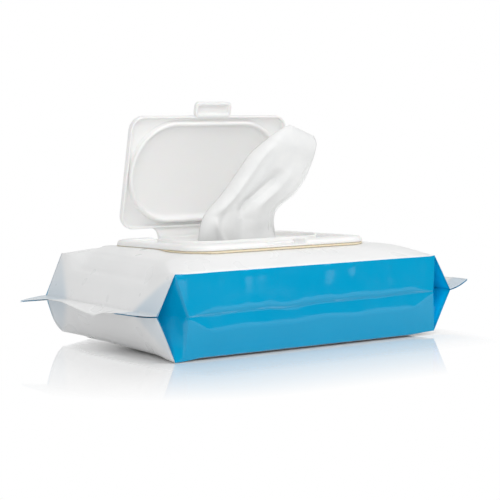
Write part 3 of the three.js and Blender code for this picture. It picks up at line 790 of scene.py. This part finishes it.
# Floor: a white sheet with a polish that mirrors the pack faintly and keeps its shadow. Away from the
# pack it runs out to plain white.
sheet, tree, shader = material("floor", Roughness=0.6, Specular_IOR_Level=0.0)
shader.inputs["Base Color"].default_value = (0.90, 0.90, 0.90, 1)
place = node(tree, "ShaderNodeTexCoord").outputs["Object"]
apart = node(tree, "ShaderNodeVectorMath", {0: place, 1: (0, 0.030, 0)}, operation="ADD").outputs[0]
apart = node(tree, "ShaderNodeVectorMath", {0: apart}, operation="ABSOLUTE").outputs[0]
apart = node(tree, "ShaderNodeVectorMath", {0: apart, 1: (0.085, 0.020, 0)}, operation="SUBTRACT").outputs[0]
apart = node(tree, "ShaderNodeVectorMath", {0: apart, 1: (0, 0, 0)}, operation="MAXIMUM").outputs[0]
near = node(tree, "ShaderNodeVectorMath", {0: apart}, operation="LENGTH").outputs["Value"]
apart = node(tree, "ShaderNodeVectorMath", {0: apart, 1: (3.0, 1.25, 0)}, operation="MULTIPLY").outputs[0]
away = node(tree, "ShaderNodeVectorMath", {0: apart}, operation="LENGTH").outputs["Value"]
rays = node(tree, "ShaderNodeLightPath")
seen = node(tree, "ShaderNodeMath", {0: rays.outputs["Is Camera Ray"], 1: rays.outputs["Is Glossy Ray"]},
            operation="MAXIMUM").outputs[0]
seen = node(tree, "ShaderNodeMath", {0: seen, 1: rays.outputs["Is Transmission Ray"]},
            operation="MAXIMUM").outputs[0]
runout = node(tree, "ShaderNodeMapRange", {"Value": away, 1: 0.008, 2: 0.06, 3: 0.0, 4: 1.0}).outputs[0]
white = node(tree, "ShaderNodeMath", {0: seen, 1: runout}, operation="MULTIPLY").outputs[0]
glow = node(tree, "ShaderNodeEmission", {"Color": (1, 1, 1, 1), "Strength": 1.0})
gloss = node(tree, "ShaderNodeBsdfGlossy", {"Color": (1, 1, 1, 1), "Roughness": 0.04})
polish = node(tree, "ShaderNodeMapRange", {"Value": near, 1: 0.035, 2: 0.105, 3: 0.38, 4: 0.0}).outputs[0]
lit = node(tree, "ShaderNodeMixShader", {0: white, 1: shader.outputs[0], 2: glow.outputs[0]})
mirror = node(tree, "ShaderNodeMixShader", {0: polish, 1: lit.outputs[0], 2: gloss.outputs[0]})
tree.links.new(mirror.outputs[0], tree.nodes["Material Output"].inputs["Surface"])
reach = 5.0
corners = [(-reach, -reach, 0), (reach, -reach, 0), (reach, reach, 0), (-reach, reach, 0)]
floor = build("floor", corners, [[0, 1, 2, 3]], [sheet])

# Light: a soft box high at the front right, a weaker one low at the front left, and an even pale room.
# In reflections the room is dark on the camera's side, with a white wall behind the pack.
for name, at, aim, wide, power, mirrored in [("key", (0.45, -0.65, 1.25), (0, 0, 0.05), 1.0, 8.5, True),
                                             ("low", (-0.85, -0.95, 0.30), (0, 0, 0.05), 1.0, 5.5, False)]:
    lamp = bpy.data.lights.new(name, "AREA")
    lamp.shape, lamp.size, lamp.energy = "SQUARE", wide, power
    holder = bpy.data.objects.new(name, lamp)
    holder.location, holder.visible_glossy = at, mirrored
    holder.rotation_euler = (Vector(aim) - Vector(at)).to_track_quat("-Z", "Y").to_euler()
    bpy.context.scene.collection.objects.link(holder)
world = bpy.data.worlds.new("studio")
world.use_nodes = True
tree = world.node_tree
tree.nodes.clear()
ray = node(tree, "ShaderNodeTexCoord").outputs["Generated"]
parts = node(tree, "ShaderNodeSeparateXYZ", {0: ray})
ahead = node(tree, "ShaderNodeMapRange", {"Value": parts.outputs["Y"], 1: -0.3, 2: 0.4, 3: 0.02, 4: 0.50})
high = node(tree, "ShaderNodeMapRange", {"Value": parts.outputs["Z"], 1: 0.45, 2: 0.75, 3: 0.0, 4: 0.50})
room = node(tree, "ShaderNodeMath", {0: ahead.outputs[0], 1: high.outputs[0]}, operation="MAXIMUM").outputs[0]
facing = node(tree, "ShaderNodeMapRange", {"Value": parts.outputs["Y"], 1: 0.2, 2: 0.5, 3: 0.0, 4: 1.0})
low = node(tree, "ShaderNodeMapRange", {"Value": parts.outputs["Z"], 1: 0.20, 2: 0.35, 3: 1.0, 4: 0.0})
wall = node(tree, "ShaderNodeMath", {0: facing.outputs[0], 1: low.outputs[0]},
            operation="MULTIPLY").outputs[0]
room = node(tree, "ShaderNodeMath", {0: room, 1: wall}, operation="MAXIMUM").outputs[0]
rays = node(tree, "ShaderNodeLightPath")
even = node(tree, "ShaderNodeMix", {"Factor": rays.outputs["Is Glossy Ray"], "A": 0.60, "B": room})
level = node(tree, "ShaderNodeMix", {"Factor": rays.outputs["Is Camera Ray"], "A": even.outputs[0], "B": 1.0})
sky = node(tree, "ShaderNodeBackground", {"Color": (1, 1, 1, 1), "Strength": level.outputs[0]})
node(tree, "ShaderNodeOutputWorld", {"Surface": sky.outputs[0]})
bpy.context.scene.world = world
bpy.context.scene.view_settings.view_transform = "Standard"
